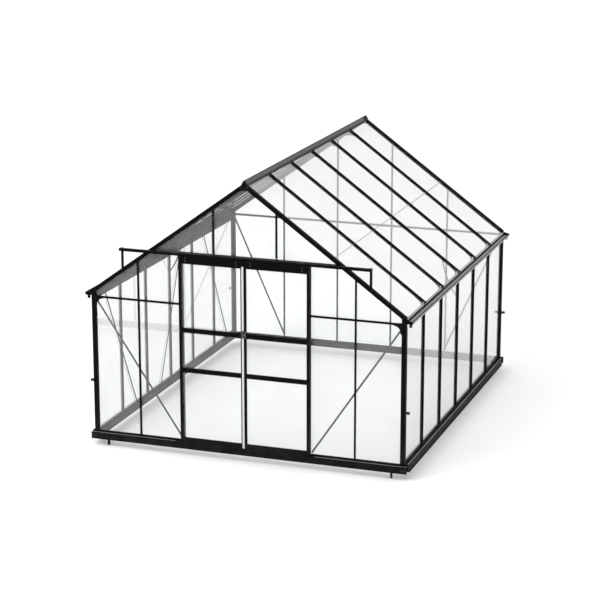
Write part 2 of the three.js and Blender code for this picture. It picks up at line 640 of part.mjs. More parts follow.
function doorLeaf(name, side) {
  const xs = [side, side * (1 + LEAF_WIDTH)].sort((a, b) => a - b);
  const inset = (amount) => [xs[0] + amount, xs[1] - amount];
  const window = (z0, z1) => box(inset(STILE), [LEAF_FRONT - 1, LEAF_BACK + 1], [z0, z1]);
  const [low, high] = MID_RAIL_ZS;
  const half = MID_RAIL / 2;
  const foot = LEAF_BOTTOM + FOOT_RAIL;
  const head = LEAF_TOP - HEAD_RAIL;
  const rebateYs = [LEAF_BACK - 8, LEAF_BACK + 1];
  const frame = cut(box(xs, [LEAF_FRONT, LEAF_BACK], [LEAF_BOTTOM, LEAF_TOP]), [
    window(foot, low - half),
    window(low + half, high - half),
    window(high + half, head),
    box(inset(STILE - 8), rebateYs, [foot - 8, head + 8]),
  ]);
  const rollerXs = [xs[0] + ROLLER_INSET, xs[1] - ROLLER_INSET];
  const hangers = rollerXs.map((x) => cut(
    box([x - 8, x + 8], hangerYs, [LEAF_TOP - 2, rollerZ + 6]),
    [cylinderY(AXLE_R + 0.1, hangerYs[0] - 1, hangerYs[1] + 1, x, rollerZ, 12)],
  ));
  add(`${name}_door_frame`, join([frame, ...hangers]), coated);
  const paneYs = [LEAF_BACK - 8 + GAP, LEAF_BACK - 8 + GAP + GLASS];
  add(`${name}_door_glass`, box(inset(STILE - 7), paneYs, [foot - 7, head + 7]), glass);
  rollerXs.forEach((x, i) => {
    const wheel = cylinderY(ROLLER_R, ...wheelYs, x, rollerZ, 24);
    const axle = cylinderY(AXLE_R, wheelYs[1] - 1, hangerYs[1] + 2, x, rollerZ, 12);
    add(`${name}_door_roller_${i + 1}`, join([wheel, axle]), nylon);
  });
}

// The latch sits on the right leaf's meeting stile and covers both stiles.
function latch() {
  const caseYs = [LEAF_FRONT - LATCH_DEPTH, LEAF_FRONT - GAP];
  const caseZs = [LATCH_Z - LATCH_HALF_HEIGHT, LATCH_Z + LATCH_HALF_HEIGHT];
  add('latch_case', box(LATCH_XS, caseYs, caseZs), plastic);
  add('latch_lever', box(LEVER_XS, [FRONT_MOST, caseYs[0] - GAP], LEVER_ZS), zinc);
}

// ---------------------------------------------------------------- assembly
gableBase('front_base_rail', FRONT_FACE, 1);
gableBase('rear_base_rail', REAR_FACE, -1);
for (const [name, side] of [['left', -1], ['right', 1]]) {
  baseRail(`${name}_base_rail`, side);
  cornerPost(`front_${name}_post`, side, FRONT_FACE, 1);
  cornerPost(`rear_${name}_post`, side, REAR_FACE, -1);
  rafter(`front_${name}_rafter`, side, FRONT_FACE, 1);
  rafter(`rear_${name}_rafter`, side, REAR_FACE, -1);
  gutter(`${name}_gutter`, side);
  doorPost(`${name}_door_post`, side);
  add(`front_${name}_bar`, gableBar(side * SIDE_BAR_X, onSill, FRONT_FACE, 1), coated);
  girt(`front_${name}_girt`, side);
  wallGlass(`${name}_wall_glass`, side);
  frontSideGlass(`front_${name}_glass`, side);
  roofGlass(`${name}_roof_glass`, side, side < 0 ? VENT_BAYS.map(({ bay }) => bay) : []);
  doorLeaf(name, side);
}
barYs.forEach((y, i) => portalFrame(`portal_frame_${i + 1}`, y, i === 2));
REAR_BAR_XS.forEach((x, i) => {
  add(`rear_bar_${i + 1}`, gableBar(x, onSill, REAR_FACE, -1), coated);
});
frontHeader();
rearTie();
ridge();
frontTopGlass();
rearGlass();
VENT_BAYS.forEach(vent);
doorTrack();
doorGuide();
latch();

export default house;
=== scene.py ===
"""Looks for the walk-in gable greenhouse: camera, light, materials and the detail on the CAD frame."""

import json
import math

import bmesh
import bpy
from mathutils import Matrix, Vector


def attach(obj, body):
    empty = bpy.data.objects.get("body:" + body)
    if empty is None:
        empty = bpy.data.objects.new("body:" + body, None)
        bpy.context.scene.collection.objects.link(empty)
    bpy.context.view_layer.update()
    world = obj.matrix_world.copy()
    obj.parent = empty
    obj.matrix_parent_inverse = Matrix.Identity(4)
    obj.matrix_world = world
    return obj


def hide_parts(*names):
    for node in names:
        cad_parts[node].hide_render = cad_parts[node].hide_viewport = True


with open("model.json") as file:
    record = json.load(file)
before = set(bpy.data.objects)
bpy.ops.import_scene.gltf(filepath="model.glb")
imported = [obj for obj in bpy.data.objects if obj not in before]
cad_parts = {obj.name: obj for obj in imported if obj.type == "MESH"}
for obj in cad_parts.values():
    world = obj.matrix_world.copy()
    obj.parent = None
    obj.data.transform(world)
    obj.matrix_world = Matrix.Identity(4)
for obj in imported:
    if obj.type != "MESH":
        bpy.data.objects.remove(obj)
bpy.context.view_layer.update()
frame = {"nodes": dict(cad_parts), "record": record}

# ---------------------------------------------------------------- dimensions, in mm
# Heights count from the sill and lengths from the front gable line, as in the CAD source.
GABLE_LINE = -1841.5
SILL = 134
BAY = 620
BAYS_LONG = 6
LENGTH = BAY * BAYS_LONG
HALF_WIDTH = 1562
APEX = 2556
PITCH = math.radians(36)
FRONT_FACE = -4
REAR_FACE = LENGTH + 4
BAR_DEPTH = 30
GABLE_BAR_DEPTH = 26
RAFTER_WIDTH = 36
EDGE_DEPTH = 26                      # solid part of a rafter above the gable glass
RIDGE_WING = 24                      # |x| of the ridge capping's lower edges
GLASS_IN = 16.5                      # from the bar's outer face to the glass
GLASS = 4
PANE_GAP = 4                         # from a bar's centre line to the pane's edge
PANE_FOOT = 2
WALL_PANE_IN = 33                    # from a gable line to the first and last wall pane
ROOF_PANE_IN = 24
SIDE_PANE_XS = (636, 1534)           # |x| of the gable panes' outer edges
OPEN_TOP = 9999                      # above the house: the roof line cuts such a pane
LEG_WIDTH = 12
GUTTER_FLOOR = 1364
GUTTER_LIP = 1388
GUTTER_REACH = 62
BASE_OUT = 27
SIDE_BAR = 1078
HEADER_BAR = 310
HEADER_Z = 1858
LINTEL_UNDER = 1834
REAR_BARS = (-936, -310, 310, 936)
VENTS = {"front": 1, "rear": 4}      # name: bay on the left slope
VENT_LID = 620                       # along the slope
VENT_START = 29
VENT_UNDER = 18
ROOF_JOINT = 1075                    # along the slope, where the upper pane meets the lower one
ROOF_START = 32.5                    # along the slope, the upper edge of the roof panes
ROOF_EAVES = 1950
ROOF_BAR_END = 1516                  # |x| where the CAD caps end
LEAF_FRONT = -44
LEAF_BACK = -20
LEAF_TOP = 1831
LEAF_BOTTOM = 4
LEAF_WIDTH = 646
LATCH_Z = 1127
TRACK_HALF = 1238
TRACK_YS = (-55, -22)
TRACK_ZS = (1834, 1859)

# Added hardware.
STRAP_OFF = 1.4                      # from a bar's inner face to the strap's middle plane
STRAP_HALF = 9
STRAP_THICK = 2.6
STRAP_BOLT_IN = 12
FRONT_STRAP = ((1520, 1316), (652, 24))          # |x| and z of the upper and the lower end
REAR_STRAP = ((1524, 1366), (927, 26))
WALL_STRAP_ZS = (1336, 26)
WALL_STRAP_YS = ((240, 930), (2130, 1560), (2790, 3460))
GIRT_UNDER = 1347
GIRT_Z = 1357
GIRT_FACE = FRONT_FACE - 8.4
PLATE_XS = (1440, 1508, 1522)        # eaves corner plate: inner end, leg and outer edge
PLATE_ZS = (1258, 1276, 1340)        # its foot, and the foot and top of its curve
PLATE_THICK = 4
GUSSET_THICK = 3
GUSSET_BOLT_X = 1536.5
RIDGE_TOP = APEX + 20
RIDGE_CREST = 4
RIDGE_PLATE = (48, 2487)             # lower corners of the ridge's end plates
RIDGE_BOLTS = ((0, 2558), (-26, 2515), (26, 2515), (0, 2500))
RIDGE_GUSSET_BOLT_XS = (-72, -26, 26, 72)
RIDGE_END = 4                        # how far the capping stands out from the gables
COVER_THICK = 1.4
FRONT_WRAP = 24
REAR_WRAP = 110
GUIDE_HALF = 702
CLIP_Z = 492
BASE_EDGE = HALF_WIDTH + BASE_OUT
BASE_BOLT_Z = -33
BEAD_ZS = (-14, -52)
LEDGE_TOP = 0.5
LEDGE_DEPTH = 1.5
FOOT_SCREW, MID_SCREW, EAVES_SCREW = 34, 690, 1330
GABLE_SCREW, TIE_SCREW = 1500, 1380
GIRT_SCREW_XS = (640, SIDE_BAR, 1540)
POST_SCREW_ZS = (60, 700, 1240)
BRACKET_FACE = -16
BRACKET_BOLT_ZS = (1644, 1700, 1800)
TRACK_SCREW_XS = (120, 420, 760)
LEAF_SCREW_ZS = (22, 40, 716, 732, 1107, 1123, LEAF_TOP - 60, LEAF_TOP - 12)
LATCH_X = 4
LATCH_HALF = (24, 33)
LATCH_DEEP = 9
VENT_HALF = 300

# Screw and bolt heads: radius, height and, for some, the number of sides.
STRAP_BOLT = (7, 5, 6)
EAVES_BOLT = (3.5, 3)
GUSSET_BOLT = (5, 4)
RIDGE_BOLT = (4, 3)
RIDGE_SCREW = (4, 2.5, 8)
BASE_BOLT = (4.5, 3.5)
BAR_SCREW = (3.6, 2.4)
POST_SCREW = (4, 2.6)
BRACKET_BOLT = (4, 2)
TRACK_SCREW = (4.5, 3)
HANGER_BOLT = (5.5, 4)
LEAF_SCREW = (3.2, 2)
LATCH_SCREW = (3, 1.6)
VENT_PEG = (3, 2.2, 10)
VENT_SCREW = (3.4, 2, 8)
STAY_KNOB = (7, 9, 16)
WASHER = 1.4                         # thickness

SIDES = (-1, 1)
X_AXIS = Vector((1, 0, 0))
Y_AXIS = Vector((0, 1, 0))
Z_AXIS = Vector((0, 0, 1))
WALL_BARS = [BAY * (i + 1) for i in range(BAYS_LONG - 1)]
BASE_LINES = ((FRONT_FACE - BASE_OUT, -Y_AXIS), (REAR_FACE + BASE_OUT, Y_AXIS))

# ---------------------------------------------------------------- camera, light and floor, places in metres
CAMERA_PLACE = (6.378, -18.620, 6.393)
CAMERA_AZIMUTH = math.radians(19.18)
CAMERA_ELEVATION = math.radians(15.0)
LENS = 120.15                        # mm
SKY_STRENGTH = 1.1
LAMP_PLACE = (-6, -9, 11)
LAMP_TARGET = (0, 0, 1)
LAMP_SIZE = 9
LAMP_ENERGY = 900
FLOOR_HALF = 60

# ---------------------------------------------------------------- node helpers


def material(name):
    """A material with a Principled shader, and the tree and shader to work on."""
    mat = bpy.data.materials.new(name)
    mat.use_nodes = True
    tree = mat.node_tree
    return mat, tree, tree.nodes["Principled BSDF"]


def node(tree, kind, settings=(), **inputs):
    """A node with its properties and inputs set; an input may be a value or another node's output."""
    made = tree.nodes.new(kind)
    for key, value in dict(settings).items():
        setattr(made, key, value)
    for key, value in inputs.items():
        socket = made.inputs[key.replace("_", " ")]
        if isinstance(value, bpy.types.NodeSocket):
            tree.links.new(value, socket)
        else:
            socket.default_value = value
    return made


def place(tree):
    return node(tree, "ShaderNodeTexCoord").outputs["Object"]


def noise(tree, scale, detail=3.0, vector=None):
    made = node(tree, "ShaderNodeTexNoise", Scale=scale, Detail=detail)
    tree.links.new(vector or place(tree), made.inputs["Vector"])
    return made.outputs["Fac"]


def spread(tree, value, low, high, start=0.0, end=1.0):
    """Maps start..end of a value to low..high, clamped."""
    made = node(tree, "ShaderNodeMapRange")
    tree.links.new(value, made.inputs["Value"])
    names = ("From Min", "From Max", "To Min", "To Max")
    for key, number in zip(names, (start, end, low, high)):
        made.inputs[key].default_value = number
    return made.outputs["Result"]


def blend_colour(tree, share, a, b):
    made = node(tree, "ShaderNodeMix", {"data_type": "RGBA"})
    tree.links.new(share, made.inputs["Factor"])
    colour_a, colour_b = [s for s in made.inputs if s.type == "RGBA"]
    for socket, value in ((colour_a, a), (colour_b, b)):
        if isinstance(value, bpy.types.NodeSocket):
            tree.links.new(value, socket)
        else:
            socket.default_value = (*value, 1)
    return next(s for s in made.outputs if s.type == "RGBA")


def bump(tree, shader, height, distance, strength=1.0):
    made = node(tree, "ShaderNodeBump", Height=height, Distance=distance, Strength=strength)
    tree.links.new(made.outputs["Normal"], shader.inputs["Normal"])


# ---------------------------------------------------------------- materials


def powder_coat(name, dark, light, film):
    """Satin powder coat: fine orange peel, cloudy gloss, painted highlight on upward faces (its strength is
    film), dust near the ground.
    """
    mat, tree, shader = material(name)
    height = node(tree, "ShaderNodeSeparateXYZ", Vector=place(tree)).outputs["Z"]
    low = spread(tree, height, 0.10, 0.0, 0.02, 0.45)
    normal = node(tree, "ShaderNodeNewGeometry").outputs["Normal"]
    up = node(tree, "ShaderNodeSeparateXYZ", Vector=normal).outputs["Z"]
    # painted highlight: upward faces take the pale dust colour, as if lit from above
    painted_top_sheen = spread(tree, up, 0.0, film, 0.25, 1.0)
    patch = spread(tree, noise(tree, 9.0, 5.0), 0.35, 1.0, 0.42, 0.70)
    either = node(tree, "ShaderNodeMath", {"operation": "MAXIMUM"})
    tree.links.new(low, either.inputs[0])
    tree.links.new(painted_top_sheen, either.inputs[1])
    # dust near the ground and painted highlight on upward faces, both in patches
    dust_and_painted_sheen = node(tree, "ShaderNodeMath", {"operation": "MULTIPLY"})
    tree.links.new(either.outputs[0], dust_and_painted_sheen.inputs[0])
    tree.links.new(patch, dust_and_painted_sheen.inputs[1])
    cloud = blend_colour(tree, noise(tree, 3.0), dark, light)
    colour = blend_colour(tree, dust_and_painted_sheen.outputs[0], cloud, (0.15, 0.149, 0.146))
    tree.links.new(colour, shader.inputs["Base Color"])
    tree.links.new(spread(tree, noise(tree, 14.0, 4.0), 0.34, 0.52), shader.inputs["Roughness"])
    shader.inputs["Specular IOR Level"].default_value = 0.03
    bump(tree, shader, noise(tree, 900.0, 2.0), 0.0002, 0.35)
    return mat


def clear_glass(name, tint, haze):
    """Flat glass: it passes light straight through under a thin dusty film, and mirrors by angle."""
    mat, tree, shader = material(name)
    tree.nodes.remove(shader)
    output = next(n for n in tree.nodes if n.type == "OUTPUT_MATERIAL")
    smudge = spread(tree, noise(tree, 2.2, 6.0), 0.0, 1.0, 0.35, 0.75)
    colour = blend_colour(tree, smudge, tint, tuple(c * 0.975 for c in tint))
    clear = node(tree, "ShaderNodeBsdfTransparent", Color=colour)
    ripple = node(tree, "ShaderNodeBump", Height=noise(tree, 6.0, 1.0), Distance=0.0004, Strength=0.3)
    gloss = node(tree, "ShaderNodeBsdfGlossy", Roughness=0.02, Normal=ripple.outputs["Normal"])
    facing = node(tree, "ShaderNodeLayerWeight", Blend=0.5, Normal=ripple.outputs["Normal"])
    steep = node(tree, "ShaderNodeMath", {"operation": "POWER"})
    tree.links.new(facing.outputs["Facing"], steep.inputs[0])
    steep.inputs[1].default_value = 2.5
    inner = node(tree, "ShaderNodeNewGeometry").outputs["Backfacing"]
    mirror = node(tree, "ShaderNodeMix", {"data_type": "FLOAT"})
    tree.links.new(inner, mirror.inputs["Factor"])
    tree.links.new(spread(tree, steep.outputs[0], 0.04, 1.0), mirror.inputs["A"])
    mirror.inputs["B"].default_value = 0
    film = node(tree, "ShaderNodeBsdfDiffuse", Color=(0.92, 0.93, 0.93, 1))
    hazy = node(tree, "ShaderNodeMixShader")
    tree.links.new(spread(tree, smudge, haze * 0.8, haze * 1.2), hazy.inputs["Fac"])
    tree.links.new(clear.outputs["BSDF"], hazy.inputs[1])
    tree.links.new(film.outputs["BSDF"], hazy.inputs[2])
    mix = node(tree, "ShaderNodeMixShader")
    tree.links.new(mirror.outputs["Result"], mix.inputs["Fac"])
    tree.links.new(hazy.outputs["Shader"], mix.inputs[1])
    tree.links.new(gloss.outputs["BSDF"], mix.inputs[2])
    tree.links.new(mix.outputs["Shader"], output.inputs["Surface"])
    return mat


def plain(name, dark, light, roughness, metallic=0.0, grain=600.0, scale=12.0):
    """A solid finish whose colour and gloss drift a little, over a fine grain."""
    mat, tree, shader = material(name)
    tree.links.new(blend_colour(tree, noise(tree, scale), dark, light), shader.inputs["Base Color"])
    shade = spread(tree, noise(tree, scale * 2), roughness - 0.08, roughness + 0.08)
    tree.links.new(shade, shader.inputs["Roughness"])
    shader.inputs["Metallic"].default_value = metallic
    bump(tree, shader, noise(tree, grain, 2.0), 0.0002, 0.3)
    return mat


# the last number sets how strongly upward faces take the painted highlight
COAT = powder_coat("powder_coat", (0.002, 0.002, 0.0022), (0.004, 0.0041, 0.0043), 0.05)
# a lighter copy of the coat for the ridge capping: painted highlight of its lit top, with strong painted
# highlight on upward faces
PAINTED_SHEEN_COAT = powder_coat("painted_sheen_coat", (0.085, 0.087, 0.09), (0.12, 0.122, 0.125), 0.6)
PANE = clear_glass("pane_glass", (0.978, 0.984, 0.982), 0.05)
ZINC = plain("zinc_plate", (0.42, 0.43, 0.44), (0.55, 0.56, 0.57), 0.38, 0.9)
NYLON = plain("roller_nylon", (0.50, 0.50, 0.48), (0.58, 0.58, 0.56), 0.55)
FASTENER = plain("black_fastener", (0.010, 0.010, 0.011), (0.022, 0.022, 0.023), 0.42, 0.3, 900.0, 20.0)
# pale grey strips laid on black coat: painted highlight on lit top and outer faces
PAINTED_SHEEN_TRIM = plain("painted_sheen_trim", (0.22, 0.223, 0.227), (0.30, 0.303, 0.307), 0.42, 0.1, 700.0, 8.0)
MOULDED = plain("latch_plastic", (0.012, 0.012, 0.013), (0.02, 0.02, 0.021), 0.5)
# pale grey for the meeting strip: painted highlight of the interlocking door stiles
PAINTED_HIGHLIGHT_STRIP = plain("meeting_painted_highlight", (0.50, 0.51, 0.51), (0.60, 0.61, 0.61), 0.6, 0.0, 900.0, 6.0)
RUBBER = plain("glazing_rubber", (0.010, 0.010, 0.010), (0.018, 0.018, 0.018), 0.75)
JOINT = plain("joint_strip", (0.28, 0.29, 0.29), (0.34, 0.35, 0.35), 0.5)

FINISH = {
    "coated_frame": COAT,
    "glass": PANE,
    "nylon": NYLON,
    "latch_plastic": MOULDED,
    "latch_metal": ZINC,
}
# these nodes take the lighter copy of the coat, painted highlight of the lit ridge top
PAINTED_SHEEN_NODES = ("ridge_capping",)


def finish_nodes():
    slots = {row["node"]: row["material_slot"] for row in frame["record"]["subparts"]}
    for name, obj in frame["nodes"].items():
        obj.data.materials.clear()
        obj.data.materials.append(PAINTED_SHEEN_COAT if name in PAINTED_SHEEN_NODES else FINISH[slots[name]])
        for polygon in obj.data.polygons:
            polygon.use_smooth = False


# ---------------------------------------------------------------- shape helpers


def at(x, y, z):
    """A point in mm from the sill and the gable line, as a point of the row frame in metres."""
    return Vector((x, y + GABLE_LINE, z + SILL)) / 1000


def roof_z(x, deep=0.0):
    return APEX - deep / math.cos(PITCH) - math.tan(PITCH) * abs(x)


def on_slope(side, down, y, out=0.0):
    """A point on a roof slope: down from the apex line, out of the roof face."""
    x = side * (down * math.cos(PITCH) + out * math.sin(PITCH))
    return at(x, y, APEX - down * math.sin(PITCH) + out * math.cos(PITCH))


def slope_normal(side):
    return on_slope(side, 0, 0, 1) - on_slope(side, 0, 0, 0)


def mirrored(half):
    """A closed outline from its right half, listed from the top down."""
    return half + [(-x, z) for x, z in reversed(half)]


def loft(bm, rings):
    """A closed body from rings of points with the same count."""
    rows = [[bm.verts.new(p) for p in ring] for ring in rings]
    count = len(rows[0])
    for a, b in zip(rows, rows[1:]):
        for i in range(count):
            j = (i + 1) % count
            bm.faces.new((a[i], a[j], b[j], b[i]))
    bm.faces.new(list(reversed(rows[0])))
    bm.faces.new(rows[-1])


def block(bm, low, high):
    """A box between two corners given in mm."""
    (x0, y0, z0), (x1, y1, z1) = low, high
    ring = lambda z: [at(x0, y0, z), at(x1, y0, z), at(x1, y1, z), at(x0, y1, z)]
    loft(bm, [ring(z0), ring(z1)])


def sweep(bm, start, end, outline, up):
    """A straight bar from start to end (metres); the outline's (u, v) are mm, v along `up`."""
    along = (end - start).normalized()
    v = (up - up.dot(along) * along).normalized()
    u = v.cross(along)
    ring = lambda p: [p + (u * a + v * b) / 1000 for a, b in outline]
    loft(bm, [ring(start), ring(end)])


def dome(bm, centre, normal, radius, height, sides=10):
    """A low screw head standing on a face, radius and height in mm."""
    turn = normal.to_track_quat("Z", "Y")
    ring = lambda r, h: [centre + turn @ Vector((r * math.cos(a), r * math.sin(a), h)) / 1000
                         for a in (math.tau * i / sides for i in range(sides))]
    loft(bm, [ring(radius, -0.5), ring(radius, height * 0.4), ring(radius * 0.6, height)])


def turned(bm, centre, axis, profile, sides=18):
    """A ring turned about an axis; the closed profile holds (radius, height) pairs in mm."""
    turn = axis.to_track_quat("Z", "Y")
    rows = []
    for i in range(sides):
        a = math.tau * i / sides
        points = [Vector((r * math.cos(a), r * math.sin(a), h)) / 1000 for r, h in profile]
        rows.append([bm.verts.new(centre + turn @ p) for p in points])
    for a, b in zip(rows, rows[1:] + rows[:1]):
        for i in range(len(profile)):
            j = (i + 1) % len(profile)
            bm.faces.new((a[i], a[j], b[j], b[i]))


def round_bar(bm, start, end, radius, sides=10):
    outline = [(radius * math.cos(a), radius * math.sin(a))
               for a in (math.tau * i / sides for i in range(sides))]
    along = (end - start).normalized()
    up = Vector((0, 0, 1)) if abs(along.z) < 0.9 else Vector((0, 1, 0))
    sweep(bm, start, end, outline, up)


def slab(bm, corners, out):
    """A sheet with the given outline (metres), thickened along the vector `out` (metres)."""
    loft(bm, [corners, [c + out for c in corners]])


def bolt(bm, centre, outward, radius, height):
    """A hexagon head on a thin round washer."""
    dome(bm, centre, outward, radius * 1.5, WASHER, 16)
    dome(bm, centre + outward * (WASHER - 0.2) / 1000, outward, radius, height, 6)


def plate_xz(bm, outline, side, y0, y1):
    """A flat plate across the house; the outline holds (|x|, z) pairs."""
    corners = [at(side * x, y0, z) for x, z in outline]
    slab(bm, corners, at(0, y1, 0) - at(0, y0, 0))


def piece(name, bm, mat, body, bevel=0.0, replaces=()):
    """Makes the bmesh an object that moves with a CAD body; bevel in mm."""
    bmesh.ops.recalc_face_normals(bm, faces=bm.faces)
    mesh = bpy.data.meshes.new(name)
    bm.to_mesh(mesh)
    bm.free()
    mesh.materials.append(mat)
    obj = bpy.data.objects.new(name, mesh)
    bpy.context.scene.collection.objects.link(obj)
    if bevel:
        soften = obj.modifiers.new("soften", "BEVEL")
        soften.width = bevel / 1000
        soften.segments = 2
        soften.limit_method = "ANGLE"
    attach(obj, body)
    if replaces:
        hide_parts(*replaces)
    return obj


# ---------------------------------------------------------------- glass


def spans(low, high, bars):
    """The stretches between a wall's ends and its bars."""
    starts = [low] + [b + PANE_GAP for b in bars]
    ends = [b - PANE_GAP for b in bars] + [high]
    return list(zip(starts, ends))


def wall_panes(name, side):
    bm = bmesh.new()
    outer = side * (HALF_WIDTH - GLASS_IN)
    out = Vector((-side * GLASS / 1000, 0, 0))
    top = GUTTER_FLOOR - 2
    for a, b in spans(WALL_PANE_IN, LENGTH - WALL_PANE_IN, WALL_BARS):
        corners = [(a, PANE_FOOT), (b, PANE_FOOT), (b, top), (a, top)]
        slab(bm, [at(outer, y, z) for y, z in corners], out)
    piece(f"{name}_wall_panes", bm, PANE, "house", replaces=[f"{name}_wall_glass"])


def roof_panes(name, side, vented):
    """Two panes in each bay and the strip over their joint; a vented bay starts below its vent."""
    bm = bmesh.new()
    strips = bmesh.new()
    out = (on_slope(side, 0, 0, -GLASS) - on_slope(side, 0, 0, 0))
    outline = [(u, v - GLASS_IN) for u, v in ((-4, 0.1), (4, 0.1), (4, 1.3), (-4, 1.3))]
    for bay, (a, b) in enumerate(spans(ROOF_PANE_IN, LENGTH - ROOF_PANE_IN, WALL_BARS)):
        first = VENT_START / math.cos(PITCH) + VENT_LID + 8 if bay in vented else ROOF_START
        for top, bottom in ((first, ROOF_JOINT - 1), (ROOF_JOINT + 1, ROOF_EAVES)):
            places = [(top, a), (top, b), (bottom, b), (bottom, a)]
            slab(bm, [on_slope(side, down, y, -GLASS_IN) for down, y in places], out)
        ends = [on_slope(side, ROOF_JOINT, y) for y in (a + 8, b - 8)]
        sweep(strips, *ends, outline, slope_normal(side))
    piece(f"{name}_roof_panes", bm, PANE, "house", replaces=[f"{name}_roof_glass"])
    piece(f"{name}_roof_joint_strips", strips, JOINT, "house")


def gable_panes(name, face, inward, openings, replaced):
    """Gable panes; each opening is (x0, x1, bottom, ceiling) and its top also follows the roof."""
    bm = bmesh.new()
    y = face + inward * GLASS_IN
    out = Vector((0, inward * GLASS / 1000, 0))
    for x0, x1, bottom, ceiling in openings:
        top = lambda x: min(ceiling, roof_z(x, EDGE_DEPTH + 1))
        knee = (APEX - (EDGE_DEPTH + 1) / math.cos(PITCH) - ceiling) / math.tan(PITCH)
        turns = [x for x in (-knee, 0, knee) if x0 < x < x1 and (x != 0 or top(0) < ceiling)]
        xs = [x0, *turns, x1]
        outline = [at(x0, y, bottom), at(x1, y, bottom)]
        outline += [at(x, y, top(x)) for x in reversed(xs) if top(x) > bottom + 1]
        slab(bm, outline, out)
    piece(name, bm, PANE, "house", replaces=[replaced])


def all_glass():
    vented = set(VENTS.values())
    jamb_side, post_side = SIDE_PANE_XS
    for name, side in (("left", -1), ("right", 1)):
        wall_panes(name, side)
        roof_panes(name, side, vented if side < 0 else ())
        edges = sorted(((side * jamb_side, side * (SIDE_BAR - PANE_GAP)),
                        (side * (SIDE_BAR + PANE_GAP), side * post_side)))
        openings = [(*sorted(pair), PANE_FOOT, LINTEL_UNDER - 2) for pair in edges]
        gable_panes(f"front_{name}_panes", FRONT_FACE, 1, openings, f"front_{name}_glass")
    low = HEADER_Z + 2
    reach = (APEX - (EDGE_DEPTH + 1) / math.cos(PITCH) - low) / math.tan(PITCH)
    upper = [(a, b, low, OPEN_TOP) for a, b in spans(-reach, reach, (-HEADER_BAR, HEADER_BAR))]
    gable_panes("front_top_panes", FRONT_FACE, 1, upper, "front_top_glass")
    rear = [(a, b, PANE_FOOT, OPEN_TOP) for a, b in spans(-post_side, post_side, REAR_BARS)]
    gable_panes("rear_panes", REAR_FACE, -1, rear, "rear_gable_glass")


# ---------------------------------------------------------------- bracing and small hardware


def strap_runs():
    """Upper end, lower end and outward direction of every strap."""
    front_ys = (FRONT_FACE + BAR_DEPTH + STRAP_OFF, FRONT_FACE + GABLE_BAR_DEPTH + STRAP_OFF)
    rear_ys = (REAR_FACE - RAFTER_WIDTH - STRAP_OFF, REAR_FACE - GABLE_BAR_DEPTH - STRAP_OFF)
    for side in SIDES:
        for points, ys, outward in ((FRONT_STRAP, front_ys, -Y_AXIS), (REAR_STRAP, rear_ys, Y_AXIS)):
            upper, lower = [at(side * x, y, z) for (x, z), y in zip(points, ys)]
            yield upper, lower, outward
    wall = -(HALF_WIDTH - BAR_DEPTH - STRAP_OFF)
    for ys in WALL_STRAP_YS:
        upper, lower = [at(wall, y, z) for y, z in zip(ys, WALL_STRAP_ZS)]
        yield upper, lower, -X_AXIS


def straps():
    """Diagonal straps inside both gables and the left wall, each bolted at its two ends."""
    bm = bmesh.new()
    bolts = bmesh.new()
    half = STRAP_THICK / 2
    outline = ((-STRAP_HALF, -half), (STRAP_HALF, -half), (STRAP_HALF, half), (-STRAP_HALF, half))
    for upper, lower, outward in strap_runs():
        sweep(bm, upper, lower, outline, outward)
        along = (lower - upper).normalized() * STRAP_BOLT_IN / 1000
        for centre in (upper + along, lower - along):
            dome(bolts, centre - outward * half / 1000, -outward, *STRAP_BOLT)
    piece("bracing_straps", bm, COAT, "house")
    piece("strap_bolts", bolts, FASTENER, "house")


def meeting_strip():
    """A pale strip on the left leaf over the gap between the two leaves: painted highlight of the
    interlocking stiles.
    """
    bm = bmesh.new()
    x, y, latch_gap, head_gap = -6, LEAF_FRONT - 0.2, 37, 54
    outline = ((-10, 0), (10, 0), (9, 3.2), (3, 4.4), (-3, 4.4), (-9, 3.2))
    for z0, z1 in ((LEAF_BOTTOM + 2, LATCH_Z - latch_gap), (LATCH_Z + latch_gap, LEAF_TOP - head_gap)):
        sweep(bm, at(x, y, z0), at(x, y, z1), outline, -Y_AXIS)
    piece("meeting_strip", bm, PAINTED_HIGHLIGHT_STRIP, "left_door")


def eaves_corners():
    """Curved corner plates under the front girts, with their bolts."""
    plates = bmesh.new()
    bolts = bmesh.new()
    inner, leg, outer = PLATE_XS
    foot, spring, crown = PLATE_ZS
    quarter = [math.radians(90) * i / 8 for i in range(9)]
    arc = [(inner + (leg - inner) * math.sin(a), spring + (crown - spring) * math.cos(a)) for a in quarter]
    outline = [(inner, GIRT_UNDER), *arc, (leg, foot), (outer, foot), (outer, GIRT_UNDER)]
    bolt_places = [(outer - 7, z) for z in (foot + 10, foot + 42, foot + 78)] + [(inner + 12, crown + 3)]
    face = FRONT_FACE - 4.6
    for side in SIDES:
        plate_xz(plates, outline, side, face, face + PLATE_THICK)
        for x, z in bolt_places:
            bolt(bolts, at(side * x, face, z), -Y_AXIS, *EAVES_BOLT)
    piece("eaves_corner_plates", plates, COAT, "house", 0.8)
    piece("eaves_corner_bolts", bolts, FASTENER, "house")


def roof_bar_ends():
    """The bar caps' lower ends, over the glass to its edge above the gutter, and shoes at the ridge."""
    bm = bmesh.new()
    cap = ((-7, -GLASS_IN + 0.2), (7, -GLASS_IN + 0.2), (7, 0), (-7, 0))
    cap_ends = (ROOF_BAR_END / math.cos(PITCH) - 6, ROOF_EAVES - 3)
    shoe = ((-7.5, 0.2), (7.5, 0.2), (6, 3), (-6, 3))
    shoe_ends = [x / math.cos(PITCH) for x in (RIDGE_WING - 4, VENT_START + 12)]
    for side in SIDES:
        for y in WALL_BARS:
            for ends, outline in ((cap_ends, cap), (shoe_ends, shoe)):
                sweep(bm, *[on_slope(side, down, y) for down in ends], outline, slope_normal(side))
    piece("roof_bar_ends", bm, COAT, "house", 0.8)


def below_roof(x, deep):
    """The |x| and z of a point under a roof slope."""
    return x, roof_z(x, deep)


